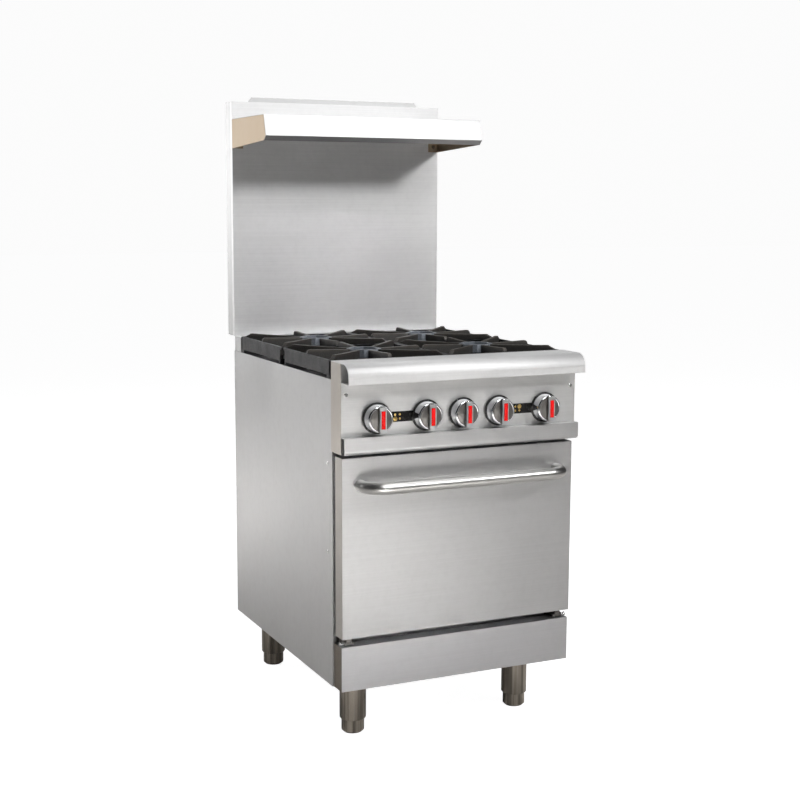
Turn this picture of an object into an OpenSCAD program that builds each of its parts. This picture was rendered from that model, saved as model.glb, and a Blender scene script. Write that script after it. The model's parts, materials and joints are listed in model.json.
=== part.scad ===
// Free-standing commercial gas range: four open top burners over one oven,
// with a control panel, a crumb tray, a flue riser and a high shelf.
// X runs across the front, -Y faces the cook, Z = 0 is the floor.

/* [Body] */
// Width over the control box
body_w = 610; // [604:1:616]
// Underside of the body above the floor
leg_h = 150; // [140:1:160]
// Height of the side panels
side_h = 720; // [718:1:724]
// Thickness of the outer sheet metal
sheet_t = 1.2; // [1:0.1:1.5]
// Face of the oven frame, behind the door
frame_y = -313.5; // [-314:0.5:-313]
// Back of the body
back_y = 377.5; // [376:0.5:378]

/* [Oven] */
// Clear width of the oven
oven_w = 500; // [480:1:504]
// Clear height of the oven
oven_h = 350; // [340:1:352]
// Clear depth of the oven behind the frame
oven_d = 602; // [580:1:606]
// Oven floor above the underside of the body
oven_lift = 150; // [149:1:152]

/* [Door] */
// Width of the oven door
door_w = 602.6; // [598:0.2:603]
// Height of the oven door
door_h = 420.7; // [418:0.1:422]
// Thickness of the oven door
door_t = 42; // [40:0.5:42.5]
// Diameter of the handle's tube
bar_d = 28; // [24:1:30]
// Distance of the handle's centreline from the door's face
bar_reach = 55; // [50:1:60]
// Distance between the handle's two feet
bar_span = 514; // [480:1:530]

/* [Controls] */
// Diameter of a knob's base ring
knob_d = 72; // [64:1:74]
// Knob centre above the underside of the body
knob_lift = 635; // [633:1:637]
// Distance of the inner burner knobs from the middle
knob_inner_x = 94; // [90:1:96]
// Distance of the outer burner knobs from the middle
knob_outer_x = 218.4; // [214:0.2:222]

/* [Cooktop] */
// Width of one grate
grate_w = 302; // [298:1:302]
// Length of one grate, front to back
grate_l = 309.5; // [305:0.5:309.5]
// Thickness of a grate's fins
fin_t = 12; // [9:1:14]
// Diameter of a burner cap
cap_d = 118; // [100:1:120]

/* [Riser and shelf] */
// Top of the riser above the floor
riser_top = 1528; // [1500:1:1540]
// Width of the riser
riser_w = 606.4; // [600:0.2:608]
// Depth of the riser
riser_d = 53.6; // [53:0.1:54]
// Shelf surface below the top of the riser
shelf_drop = 45.4; // [40:0.2:60]
// How far the shelf reaches forward of the riser
shelf_reach = 249.4; // [220:0.2:260]

/* [Legs] */
// Diameter of the fixed upper leg
leg_d = 64; // [62:1:66]
// Diameter of the adjustable foot
foot_d = 55; // [50:1:56]
// Half the distance between the left and right legs
leg_x = 223; // [214:1:230]

/* [Hidden] */

$fn = 48;
cut = 1;
gap = 0.3;
half_w = body_w / 2;
skin_x = half_w - 0.2;
inner_x = skin_x - sheet_t - 0.2;

// Levels
body_z = leg_h;
deck_z = leg_h + side_h;
kick_top = leg_h + 105;
door_z = leg_h + 125.7;
door_top = door_z + door_h;
box_z = leg_h + 555;
tray_lip_top = leg_h + 595;
knob_z = leg_h + knob_lift;
rail_z = leg_h + 718;
rail_top = leg_h + 763;
stub_top = rail_top - 4.7;
oven_z = leg_h + oven_lift;
oven_top = oven_z + oven_h;
shelf_z = riser_top - shelf_drop;
overall_top = riser_top + 14;

// Front to back
oven_back = frame_y + 1.5 + oven_d;
door_back = frame_y - 8;
door_face = door_back - door_t;
panel_y = frame_y - 51.8;
cap_back = frame_y + 5;
rail_front = frame_y - 97.5;
lip_front = frame_y - 72.5;
kick_face = frame_y - 45;
stub_y = back_y - 51;
riser_y = back_y + 1.4;
riser_back = riser_y + riser_d;
seam_y = frame_y + 11.3;

// Hinge of the oven door
hinge_y = frame_y - 31.5;
hinge_z = kick_top + 6;
pin_r = 3;
running = 0.05;

// Cooktop
grate_x = 152;
row_front = -143.75;
row_rear = 168.75;
tube_z = deck_z - 35;
manifold_y = frame_y + 13.5;
manifold_r = 13.35;
valve_face = panel_y + 13.3;
spindle_r = 4;

leg_shift = 6;
leg_places = [leg_shift - leg_x, leg_shift + leg_x];
leg_front = -225.5;
leg_rear = 334.5;

steel = "silver";
iron = "#262626";
dark = "#3a3a3c";
brass_c = "goldenrod";
wool = "#e6dfc8";

// A cuboid from its limits along X, Y and Z
module block(x, y, z) {
    translate([x[0], y[0], z[0]])
        cube([x[1] - x[0], y[1] - y[0], z[1] - z[0]]);
}

// Round bars along each axis, from their limits along it
module rod_x(x, y, z, r) {
    translate([x[0], y, z]) rotate([0, 90, 0]) cylinder(h = x[1] - x[0], r = r);
}

module rod_y(x, y, z, r) {
    translate([x, y[0], z]) rotate([-90, 0, 0]) cylinder(h = y[1] - y[0], r = r);
}

module rod_z(x, y, z, r) {
    translate([x, y, z[0]]) cylinder(h = z[1] - z[0], r = r);
}

// A sheet outline in Y and Z, drawn across X
module across(x, points) {
    translate([x[0], 0, 0])
        rotate([90, 0, 90])
            linear_extrude(height = x[1] - x[0])
                polygon(points);
}

// The children and their mirror image in the middle plane
module both_sides() {
    children();
    mirror([1, 0, 0]) children();
}

// ---------- body ----------

module base_pan() {
    color(steel)
        difference() {
            block([-inner_x, inner_x], [frame_y + 2, back_y - 2], [body_z, body_z + 26]);
            block([-inner_x + 1.5, inner_x - 1.5], [frame_y + 3.5, back_y - 3.5],
                  [body_z + 1.5, body_z + 30]);
            for (x = leg_places)
                for (y = [leg_front, leg_rear])
                    rod_z(x, y, [body_z - cut, body_z + 3], 8.4);
        }
}

module side_panel() {
    color(steel) {
        x = [skin_x - sheet_t, skin_x];
        difference() {
            block(x, [seam_y + 0.3, back_y], [body_z, deck_z]);
            for (z = [body_z + 317, body_z + 524])
                rod_x([x[0] - cut, x[1] + cut], frame_y + 27, z, 2.5);
        }
        block(x, [cap_back + 0.3, seam_y + 0.3], [box_z, deck_z]);
    }
}

module side_panel_right() { side_panel(); }

module side_panel_left() { mirror([1, 0, 0]) side_panel(); }

module back_panel() {
    color(steel)
        difference() {
            block([-inner_x, inner_x], [back_y - sheet_t, back_y], [body_z, deck_z]);
            rod_y(284, [back_y - 5, back_y + cut], knob_z, 16);
            block([-102, 102], [back_y - 5, back_y + cut], [oven_top - 62, oven_top - 8]);
            for (x = [-200 : 40 : 200])
                block([x - 14, x + 14], [back_y - 5, back_y + cut], [body_z + 60, body_z + 66]);
        }
}

module front_frame() {
    t = 1.5;
    color(steel) {
        difference() {
            block([-skin_x, skin_x], [frame_y, frame_y + t], [body_z, box_z]);
            block([-oven_w / 2, oven_w / 2], [frame_y - cut, frame_y + 3], [oven_z, oven_top]);
            block([-245, 245], [frame_y - cut, frame_y + 3], [body_z + 15, kick_top - 5]);
        }
        both_sides()
            block([skin_x - sheet_t, skin_x], [frame_y + t, seam_y], [body_z, box_z]);
    }
}

// ---------- oven ----------

module oven_liner() {
    t = 1.5;
    w = oven_w / 2;
    ledge = 14;
    color(dark)
        difference() {
            block([-w - t, w + t], [frame_y + t, oven_back + t], [oven_z - 3, oven_top + t]);
            block([-w, w], [frame_y, oven_back], [oven_z, oven_top]);
            block([-w + ledge, w - ledge], [frame_y, oven_back - ledge], [oven_z - 5, oven_z + cut]);
            block([-w, w], [frame_y, oven_back], [oven_z - 1.5, oven_z + cut]);
            block([-90, 90], [oven_back - cut, oven_back + 3], [oven_top - 50, oven_top - 20]);
            rod_x([-w - 3, -w + cut], frame_y + 27.5, oven_top - 20, 2);
        }
}

module oven_floor() {
    w = oven_w / 2 - 1;
    color(dark)
        difference() {
            block([-w, w], [frame_y + 2.5, oven_back - 1], [oven_z - 1.5, oven_z]);
            both_sides()
                for (y = [-230 : 60 : 190])
                    block([w - 24, w - 12], [y, y + 36], [oven_z - 3, oven_z + cut]);
        }
}

guide_step = 60;
guide_z = oven_z + 85;

module rack_guides() {
    w = oven_w / 2;
    color("lightgray")
        both_sides() {
            for (y = [-230, 210])
                block([w - 3, w], [y - 7, y + 7], [oven_z + 60, oven_top - 30]);
            for (i = [0 : 3])
                block([w - 14, w - 3], [frame_y + 30, oven_back - 30],
                      [guide_z + i * guide_step, guide_z + 2.5 + i * guide_step]);
        }
}

module oven_insulation() {
    w = oven_w / 2 + 2;
    color(wool)
        difference() {
            block([-w - 39, w + 39], [frame_y + 16, oven_back + 55], [oven_z, oven_top + 43]);
            block([-w, w], [frame_y, oven_back + 2], [oven_z - cut, oven_top + 2]);
            block([-102.5, 102.5], [oven_back, oven_back + 60], [oven_top - 62.5, oven_top - 7.5]);
        }
}

module door_gasket() {
    w = oven_w / 2 + 16;
    d = 8;
    color("dimgray")
        difference() {
            block([-w, w], [door_back + 0.2, frame_y], [oven_z - 16, oven_top + 16]);
            block([-w + d, w - d], [door_back - cut, frame_y + cut],
                  [oven_z - 16 + d, oven_top + 16 - d]);
        }
}

rack_z = guide_z + guide_step + 2.5;

module oven_rack() {
    w = oven_w / 2 - 8;
    y0 = frame_y + 14;
    y1 = oven_back - 22;
    frame_r = 3.5;
    wire_r = 2;
    z = rack_z + frame_r + 0.1;
    color("gainsboro") {
        both_sides()
            rod_y(w, [y0, y1], z, frame_r);
        for (y = [y0, y1])
            rod_x([-w, w], y, z, frame_r);
        both_sides()
            for (y = [y0, y1])
                translate([w, y, z]) sphere(r = frame_r);
        for (y = [y0 + 180, y1 - 180])
            rod_x([-w, w], y, z, frame_r - 0.7);
        for (i = [-8 : 8])
            rod_y(i * 26, [y0, y1], z + frame_r - 0.6, wire_r);
    }
}

// ---------- oven door ----------

module door_skin() {
    t = 1.2;
    x = door_w / 2;
    color(steel)
        difference() {
            block([-x, x], [door_face, door_back - 1.6], [door_z, door_top]);
            block([-x + t, x - t], [door_face + t, door_back], [door_z + t, door_top - t]);
        }
}

module door_inner_panel() {
    x = door_w / 2;
    w = oven_w / 2 - 14;
    color(dark)
        difference() {
            union() {
                block([-x, x], [door_back - 1.5, door_back], [door_z, door_top]);
                block([-w, w], [door_back, door_back + 5], [oven_z + 14, oven_top - 14]);
            }
            block([-w + 1.5, w - 1.5], [door_back - 3, door_back + 3.5],
                  [oven_z + 15.5, oven_top - 15.5]);
        }
}

module door_insulation() {
    x = door_w / 2 - 4;
    color(wool)
        block([-x, x], [door_face + 1.3, door_back - 1.6], [door_z + 4, door_top - 4]);
}

// The handle is one tube, bent square to the door at both ends
module handle_path(r) {
    bend = 45;
    post_x = bar_span / 2;
    bar_y = door_face - bar_reach;
    rod_x([-post_x + bend, post_x - bend], bar_y, 0, r);
    both_sides() {
        translate([post_x - bend, bar_y + bend, 0])
            rotate([0, 0, -90])
                rotate_extrude(angle = 90)
                    translate([bend, 0]) circle(r = r);
        rod_y(post_x, [bar_y + bend, door_face], 0, r);
    }
}

module door_handle() {
    wall = 1.5;
    color("gainsboro")
        translate([0, 0, door_top - 64.4])
            difference() {
                handle_path(bar_d / 2);
                handle_path(bar_d / 2 - wall);
            }
}

arm_x = [273, 285];

module door_hinge_arms() {
    color(dark)
        both_sides()
            difference() {
                union() {
                    rod_x(arm_x, hinge_y, hinge_z, 5.2);
                    block(arm_x, [hinge_y - 4, hinge_y + 4], [hinge_z, door_z]);
                    block([262, 290], [hinge_y - 4, hinge_y + 20], [door_z - 2, door_z]);
                }
                rod_x([arm_x[0] - cut, arm_x[1] + cut], hinge_y, hinge_z, pin_r + running);
            }
}

module hinge_brackets() {
    ear_t = 4;
    low = kick_top + 0.6;
    color(dark)
        both_sides()
            difference() {
                union() {
                    block([262, 296], [frame_y - 2, frame_y], [low, kick_top + 17]);
                    for (x = [arm_x[0] - 1 - ear_t, arm_x[1] + 1]) {
                        block([x, x + ear_t], [hinge_y, frame_y - 2], [low, hinge_z + 5.4]);
                        rod_x([x, x + ear_t], hinge_y, hinge_z, 5.4);
                    }
                }
                rod_x([260, 300], hinge_y, hinge_z, pin_r);
            }
}

module hinge_pins() {
    color("gainsboro")
        both_sides() {
            rod_x([arm_x[0] - 6, 298], hinge_y, hinge_z, pin_r);
            rod_x([298, 301], hinge_y, hinge_z, 4.6);
        }
}

// ---------- control box ----------

knob_places = [-knob_outer_x, -knob_inner_x, 0, knob_inner_x, knob_outer_x];
burner_places = [-knob_outer_x, -knob_inner_x, knob_inner_x, knob_outer_x];
panel_screw_places = [[-292, body_z + 691], [292, body_z + 682.5]];

module control_panel() {
    x = half_w - sheet_t;
    color(steel)
        difference() {
            union() {
                block([-x, x], [panel_y, panel_y + sheet_t], [tray_lip_top + 0.5, rail_top - 1.5]);
                block([-x, x], [panel_y + sheet_t, panel_y + 14],
                      [tray_lip_top + 0.5, tray_lip_top + 0.5 + sheet_t]);
            }
            for (k = knob_places)
                rod_y(k, [panel_y - cut, panel_y + 3], knob_z, 9);
            for (s = panel_screw_places)
                rod_y(s[0], [panel_y - cut, panel_y + 3], s[1], 2.5);
        }
}

module control_end_caps() {
    color(steel)
        both_sides()
            block([half_w - sheet_t, half_w], [panel_y, cap_back], [box_z, rail_top - 1.5]);
}

// A folded sheet: flat on top, round at the front, then straight down to a short return
module front_rail() {
    r = 30;
    t = 1.5;
    x = [-half_w, half_w];
    wide = [-half_w - cut, half_w + cut];
    axis_y = rail_front + r;
    axis_z = rail_top - r;
    color(steel) {
        block(x, [axis_y, cap_back], [rail_top - t, rail_top]);
        block(x, [rail_front, rail_front + t], [rail_z, axis_z]);
        block(x, [rail_front, panel_y], [rail_z, rail_z + t]);
        intersection() {
            difference() {
                rod_x(x, axis_y, axis_z, r);
                rod_x(wide, axis_y, axis_z, r - t);
            }
            block(wide, [rail_front - cut, axis_y], [axis_z, rail_top + cut]);
        }
    }
}

module label_plates() {
    mid = (knob_inner_x + knob_outer_x) / 2;
    color("black")
        both_sides()
            block([mid - 48, mid + 48], [panel_y - 0.8, panel_y], [knob_z - 12, knob_z + 12]);
}

module screw_head() {
    cylinder(h = 0.6, r = 4.4);
    translate([0, 0, 0.6]) cylinder(h = 0.8, r1 = 4.4, r2 = 2.8);
    translate([0, 0, -3]) cylinder(h = 3, r = 2.2);
}

module panel_screws() {
    color("gainsboro") {
        for (s = panel_screw_places)
            translate([s[0], panel_y, s[1]]) rotate([90, 0, 0]) screw_head();
        both_sides()
            for (z = [body_z + 317, body_z + 524])
                translate([skin_x, frame_y + 27, z]) rotate([0, 90, 0]) screw_head();
    }
}

// A knob on its valve spindle, drawn along its own axis from the panel's face
module knob_at(x) {
    bar_w = 16.5;
    bar_l = 58;
    rim = knob_d / 2;
    cone = rim - 6;
    translate([x, panel_y, knob_z])
        rotate([90, 0, 0]) {
            color("gainsboro") {
                rotate_extrude()
                    polygon([[0, 2], [rim, 2], [rim, 5], [rim - 1.5, 6], [cone, 26],
                             [cone - 2, 28.5], [cone - 2.6, 28.5], [cone - 2.6, 27.8], [0, 27.8]]);
                difference() {
                    translate([-bar_w / 2, -bar_l / 2, 22]) cube([bar_w, bar_l, 19.5]);
                    translate([-6, -22, 39.5]) cube([12, 44, 5]);
                }
                translate([0, 0, -24.8]) cylinder(h = 28, r = spindle_r);
            }
            color("red")
                translate([-6, -22, 39.5]) cube([12, 44, 2.6]);
        }
}

module knob_front_left() { knob_at(knob_places[0]); }

module knob_rear_left() { knob_at(knob_places[1]); }

module knob_oven() { knob_at(knob_places[2]); }

module knob_rear_right() { knob_at(knob_places[3]); }

module knob_front_right() { knob_at(knob_places[4]); }

// ---------- gas train ----------

module gas_manifold() {
    color("dimgray")
        difference() {
            rod_x([-262, 268], manifold_y, knob_z, manifold_r);
            rod_x([-259, 270], manifold_y, knob_z, 10.4);
            for (k = knob_places)
                rod_y(k, [manifold_y - 20, manifold_y], knob_z, 6);
            rod_z(0, manifold_y, [knob_z, knob_z + 20], 3);
        }
}

module gas_inlet_pipe() {
    x = 284;
    color("dimgray")
        difference() {
            union() {
                rod_y(x, [manifold_y, riser_back - 7.5], knob_z, manifold_r);
                rod_y(x, [back_y + 1.5, back_y + 9.5], knob_z, 18);
                translate([x, manifold_y, knob_z]) sphere(r = 17.5);
                rod_x([262, x], manifold_y, knob_z, 17.5);
            }
            rod_y(x, [manifold_y, riser_back], knob_z, 10.4);
            rod_x([260, 268], manifold_y, knob_z, manifold_r);
            rod_x([267, x], manifold_y, knob_z, 10.4);
        }
}

module burner_valves() {
    color(brass_c)
        for (x = burner_places)
            difference() {
                union() {
                    rod_y(x, [valve_face, manifold_y - manifold_r - 0.5], knob_z, 12);
                    rod_y(x, [manifold_y - 16, manifold_y - 9], knob_z, 6);
                    rod_z(x, frame_y - 20, [knob_z, tube_z + 6], 6);
                    rod_y(x, [frame_y - 20, frame_y + 22], tube_z, 6);
                }
                rod_y(x, [valve_face - cut, valve_face + 12], knob_z, spindle_r + running);
                rod_y(x, [frame_y + 18, frame_y + 23], tube_z, 1);
            }
}

module oven_thermostat() {
    color("dimgray")
        difference() {
            union() {
                block([-26, 26], [valve_face, frame_y - 4], [knob_z - 28, knob_z + 28]);
                rod_y(0, [frame_y - 5, manifold_y - 9], knob_z, 6);
            }
            rod_y(0, [valve_face - cut, valve_face + 12], knob_z, spindle_r + running);
        }
    color("darkgoldenrod") {
        bulb_x = -oven_w / 2 + 8;
        bulb_y = frame_y + 27.5;
        bulb_z = oven_top - 20;
        tube_x = -inner_x + 6;
        rod_x([tube_x, -26], frame_y - 10, knob_z + 20, 1.2);
        rod_y(tube_x, [frame_y - 10, bulb_y], knob_z + 20, 1.2);
        rod_z(tube_x, bulb_y, [bulb_z, knob_z + 20], 1.2);
        rod_x([tube_x, bulb_x], bulb_y, bulb_z, 1.2);
        rod_y(bulb_x, [bulb_y, bulb_y + 200], bulb_z, 4);
    }
}

tube_drop_x = -inner_x + 7;
oven_gas_z = body_z + 65;

module oven_gas_tube() {
    r = 4;
    y0 = frame_y - 22;
    y1 = manifold_y;
    high = knob_z - 17;
    color("peru") {
        rod_x([tube_drop_x, -26], y0, high, r);
        translate([tube_drop_x, y0, high]) sphere(r = r);
        rod_y(tube_drop_x, [y0, y1], high, r);
        translate([tube_drop_x, y1, high]) sphere(r = r);
        rod_z(tube_drop_x, y1, [oven_gas_z, high], r);
        translate([tube_drop_x, y1, oven_gas_z]) sphere(r = r);
        rod_x([tube_drop_x, -232], y1, oven_gas_z, r);
    }
}

module oven_safety_valve() {
    y1 = manifold_y;
    color("silver")
        difference() {
            union() {
                block([-232, -188], [y1 - 12, y1 + 30], [oven_gas_z - 22, oven_gas_z + 22]);
                rod_x([-188, 0], y1, oven_gas_z, 4);
                rod_y(0, [y1 - 4, y1 + 12], oven_gas_z, 8);
            }
            rod_y(-210, [y1 - 13, y1 + 10], oven_gas_z, 5 + running);
        }
}

module safety_button() {
    color("firebrick") {
        rod_y(-210, [manifold_y - 34, manifold_y - 20], oven_gas_z, 8);
        rod_y(-210, [manifold_y - 21, manifold_y - 0.5], oven_gas_z, 5);
    }
}

module oven_burner() {
    y1 = manifold_y;
    color("dimgray") {
        difference() {
            union() {
                rod_y(0, [y1 + 18, y1 + 60], oven_gas_z, 15);
                rod_y(0, [y1 + 60, oven_back - 60], oven_gas_z, 22);
            }
            rod_y(0, [y1 + 17, oven_back - 65], oven_gas_z, 12.5);
            both_sides()
                for (y = [y1 + 90 : 40 : oven_back - 90])
                    rod_x([10, 25], y, oven_gas_z, 2);
        }
        for (y = [y1 + 80, oven_back - 90])
            block([-12, 12], [y, y + 6], [body_z + 1.5, oven_gas_z - 20]);
    }
}

// ---------- top burners ----------

module burner_body(x, y, feed_x) {
    across = [min(x, feed_x), max(x, feed_x)];
    tube_r = 14;
    throat_r = 11;
    difference() {
        union() {
            rod_y(feed_x, [frame_y + 29, y + 16], tube_z, tube_r);
            rod_y(feed_x, [frame_y + 28, frame_y + 40], tube_z, tube_r + 4);
            rod_x(across, y, tube_z, tube_r - 1);
            translate([x, y, tube_z])
                rotate_extrude()
                    polygon([[0, -32], [8, -32], [8, -16], [18, -16], [18, 6], [40, 27], [0, 27]]);
        }
        rod_y(feed_x, [frame_y + 20, y + 4], tube_z, throat_r);
        rod_x(across, y, tube_z, throat_r - 1);
        translate([x, y, tube_z])
            rotate_extrude()
                polygon([[0, -3], [12, -3], [12, 9], [15, 9], [36, 28], [0, 28]]);
    }
}

module burner_bodies() {
    color(iron)
        both_sides() {
            burner_body(grate_x, row_front, knob_outer_x);
            burner_body(grate_x, row_rear, knob_inner_x);
        }
}

module burner_caps() {
    port_r = 2;
    z = tube_z + 27;
    r = cap_d / 2;
    color(iron)
        both_sides()
            for (y = [row_front, row_rear])
                translate([grate_x, y, z])
                    difference() {
                        rotate_extrude()
                            polygon([[0, 0], [r - 14, 0], [r, 6], [r, 13], [r - 8, 18],
                                     [20, 18], [12, 14], [0, 14]]);
                        for (a = [0 : 30 : 330])
                            rotate([0, 0, a])
                                translate([r - 10, 0, 9.5]) rotate([0, 90, 0]) cylinder(h = 15, r = port_r);
                    }
}

module pilot_tubes() {
    r = 3;
    z = deck_z - 24;
    y0 = manifold_y;
    color("peru") {
        rod_z(0, y0, [knob_z + 11, z], r);
        translate([0, y0, z]) sphere(r = r);
        rod_y(0, [y0, row_rear], z, r);
        for (y = [row_front, row_rear]) {
            rod_x([-78, 78], y, z, r);
            both_sides()
                rod_z(78, y, [z, z + 24], 5);
        }
    }
}

// Welded frame inside the top of the body: it carries the grates and burners,
// and the two rails that the crumb tray slides on
module top_frame() {
    x0 = -inner_x;
    x1 = inner_x;
    y0 = cap_back + 8;
    y1 = back_y - 2;
    bar = 12;
    color(dark) {
        both_sides() {
            block([x1 - 1.8, x1], [y0, y1], [box_z - 5, deck_z]);
            block([x1 - 22, x1], [y0, y1], [deck_z - 3, deck_z]);
            block([262, x1], [frame_y + 33, y1 - 60], [box_z + 3, box_z + 4.8]);
        }
        for (y = [y0, y1 - 58])
            block([x0, x1], [y, y + 8], [deck_z - bar, deck_z]);
        block([x0, x1], [2.5, 22.5], [deck_z - bar, deck_z]);
        block([-10, 10], [y0, y1 - 50], [deck_z - bar, deck_z]);
        for (y = [row_front, row_rear])
            block([x0, x1], [y - 14, y + 14], [tube_z - 35, tube_z - 32]);
    }
}

module stub_back() {
    x = inner_x - 0.4;
    color(steel)
        difference() {
            block([-x, x], [stub_y, back_y], [deck_z, stub_top]);
            block([-x + sheet_t, x - sheet_t], [stub_y + sheet_t, back_y - sheet_t],
                  [deck_z - cut, stub_top - sheet_t]);
        }
}

// A cast grate: a square skirted frame, eight fins and an eight-sided ring.
// Heights are above the deck that it stands on.
function fin_outline(reach, end) = [
    [36, 30], [36, 48.5], [reach - 46, 50.5], [reach - 8, 52], [reach, 50],
    [end, 40.5], [end, 21], [reach - 30, 25]
];

module fin(angle, reach, end) {
    rotate([90, 0, angle])
        translate([0, 0, -fin_t / 2])
            linear_extrude(height = fin_t)
                polygon(fin_outline(reach, end));
}

module grate_at(side, row) {
    wall = 9;
    notch = 14;
    x = grate_w / 2;
    y = grate_l / 2;
    meet = row == row_front ? y : -y;
    corner = sqrt(x * x + y * y);
    apothem = 39;
    color(iron)
        translate([side * grate_x, row, deck_z]) {
            difference() {
                union() {
                    difference() {
                        block([-x, x], [-y, y], [8, 42]);
                        block([-x + wall, x - wall], [-y + wall, y - wall], [0, 50]);
                    }
                    for (sx = [-1, 1], sy = [-1, 1])
                        block([sx * (x - 11) - 11, sx * (x - 11) + 11],
                              [sy * (y - 11) - 11, sy * (y - 11) + 11], [0, 12]);
                }
                for (sx = [-1, 1])
                    block([sx * x - notch, sx * x + notch], [meet - notch, meet + notch],
                          [-cut, 36]);
            }
            for (a = [0, 180])
                fin(a, x - 5, x - 3);
            for (a = [90, 270])
                fin(a, y - 5, y - 3);
            for (sx = [-1, 1], sy = [-1, 1])
                fin(sy * (90 - sx * 45), corner - 26, corner - 9);
            difference() {
                translate([0, 0, 32])
                    rotate([0, 0, 22.5]) cylinder(h = 18, r = apothem / cos(22.5), $fn = 8);
                translate([0, 0, 30])
                    rotate([0, 0, 22.5]) cylinder(h = 22, r = (apothem - 7) / cos(22.5), $fn = 8);
            }
        }
}

module grate_front_left() { grate_at(-1, row_front); }

module grate_front_right() { grate_at(1, row_front); }

module grate_rear_left() { grate_at(-1, row_rear); }

module grate_rear_right() { grate_at(1, row_rear); }

module crumb_tray() {
    x = half_w - 0.5;
    w = 270;
    t = 1.2;
    r = 10;
    corner = 5;
    floor_z = box_z + 5;
    color(steel) {
        difference() {
            block([-w, w], [panel_y + t, back_y - 80], [floor_z, floor_z + 18]);
            block([-w + t, w - t], [panel_y, back_y - 80 - t], [floor_z + t, floor_z + 20]);
        }
        block([-half_w + 1.5, half_w - 1.5], [panel_y, panel_y + t], [box_z + 0.5, tray_lip_top]);
        difference() {
            union() {
                block([-x, x], [lip_front, panel_y], [box_z + 0.5 + r, tray_lip_top]);
                block([-x, x], [lip_front + r, panel_y], [box_z + 0.5, tray_lip_top]);
                rod_x([-x, x], lip_front + r, box_z + 0.5 + r, r);
            }
            block([-x - cut, x + cut], [lip_front + t, panel_y + cut],
                  [box_z + 0.5 + r, tray_lip_top - t]);
            block([-x - cut, x + cut], [lip_front + r, panel_y + cut],
                  [box_z + 0.5 + t, tray_lip_top - t]);
            rod_x([-x - cut, x + cut], lip_front + r, box_z + 0.5 + r, r - t);
            both_sides()
                difference() {
                    block([x - corner, x + cut], [lip_front - cut, panel_y - cut],
                          [box_z, box_z + 0.5 + corner]);
                    rod_y(x - corner, [lip_front - 2, panel_y], box_z + 0.5 + corner, corner);
                }
        }
    }
}

module kick_plate() {
    x = half_w - 3.8;
    t = 1.2;
    flange = 34;
    color(steel)
        difference() {
            block([-x, x], [kick_face, frame_y - gap], [body_z, kick_top]);
            block([-x + t, x - t], [kick_face + t, frame_y + cut], [body_z + t, kick_top - t]);
            block([-x + t, x - t], [kick_face + flange, frame_y + cut],
                  [body_z - cut, kick_top + cut]);
        }
}

// ---------- riser, flue and shelf ----------

module riser_front() {
    x = riser_w / 2;
    flange = 15;
    color(steel)
        difference() {
            block([-x, x], [riser_y, riser_y + flange], [stub_top + 0.2, riser_top]);
            block([-x + sheet_t, x - sheet_t], [riser_y + sheet_t, riser_y + flange + cut],
                  [stub_top - cut, riser_top + cut]);
        }
}

module riser_rear() {
    x = riser_w / 2;
    y0 = riser_y + 15.2;
    color(steel)
        difference() {
            block([-x, x], [y0, riser_back], [stub_top + 0.2, riser_top]);
            block([-x + sheet_t, x - sheet_t], [y0 - cut, riser_back - sheet_t],
                  [stub_top - cut, riser_top + cut]);
            for (z = [stub_top + 60, riser_top - 120])
                for (i = [-5 : 5])
                    block([i * 44 - 15, i * 44 + 15], [riser_back - 3, riser_back + cut], [z, z + 8]);
        }
}

module flue_deflector() {
    base = 251;
    crown = 240;
    y0 = riser_y + sheet_t;
    y1 = riser_y + 23.6;
    color(steel) {
        translate([0, y1 + sheet_t, 0])
            rotate([90, 0, 0])
                linear_extrude(height = sheet_t)
                    polygon([[-base, riser_top - 1.2], [base, riser_top - 1.2], [base, riser_top],
                             [crown, overall_top], [-crown, overall_top], [-base, riser_top]]);
        block([-base, base], [y0, y1 + sheet_t], [riser_top - 1.2, riser_top]);
        block([-base, base], [y0, y0 + sheet_t], [riser_top - 30, riser_top]);
    }
}

module riser_uprights() {
    y0 = riser_y + sheet_t;
    color(steel)
        both_sides() {
            difference() {
                block([200, 230], [y0, y0 + 12], [body_z + 470, stub_top + 140]);
                block([202, 228], [y0 + 2, y0 + 13], [body_z + 468, stub_top + 142]);
            }
            for (z = [body_z + 490, deck_z - 70])
                block([200, 230], [back_y, y0], [z, z + 50]);
        }
}

module flue_duct() {
    t = 1.2;
    y0 = riser_y + 2;
    y1 = riser_back - 2;
    top = stub_top + 20;
    color(dark)
        difference() {
            union() {
                block([-140, 140], [y0, y1], [oven_top - 90, top]);
                block([-101.5, 101.5], [oven_back + 1.5, y0 + cut], [oven_top - 61.5, oven_top - 8.5]);
            }
            block([-140 + t, 140 - t], [y0 + t, y1 - t], [oven_top - 90 + t, top + cut]);
            block([-101.5 + t, 101.5 - t], [oven_back, y0 + 5], [oven_top - 61.5 + t, oven_top - 8.5 - t]);
        }
}

module shelf() {
    x = riser_w / 2 + 0.2;
    t = 1.2;
    front = riser_y - shelf_reach;
    color(steel)
        across([-x, x], [
            [riser_y, shelf_z], [front, shelf_z], [front - 14, shelf_z - 52.6],
            [front - 2, shelf_z - 64.6], [front - 1.2, shelf_z - 63.8],
            [front - 12.6, shelf_z - 52.2], [front + 1, shelf_z - t], [riser_y, shelf_z - t]
        ]);
}

module shelf_brackets() {
    x = riser_w / 2 + 0.2;
    t = 1.5;
    front = riser_y - shelf_reach;
    low = shelf_z - 76.5;
    color("tan")
        both_sides() {
            across([x - t, x], [
                [riser_y, shelf_z - 1.4], [front + 1.4, shelf_z - 1.4], [front - 12.2, shelf_z - 52.2],
                [front - 0.9, shelf_z - 64], [riser_y, low]
            ]);
            block([x - 30, x - t], [riser_y - 1.5, riser_y], [low, shelf_z - 1.4]);
        }
}

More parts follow.
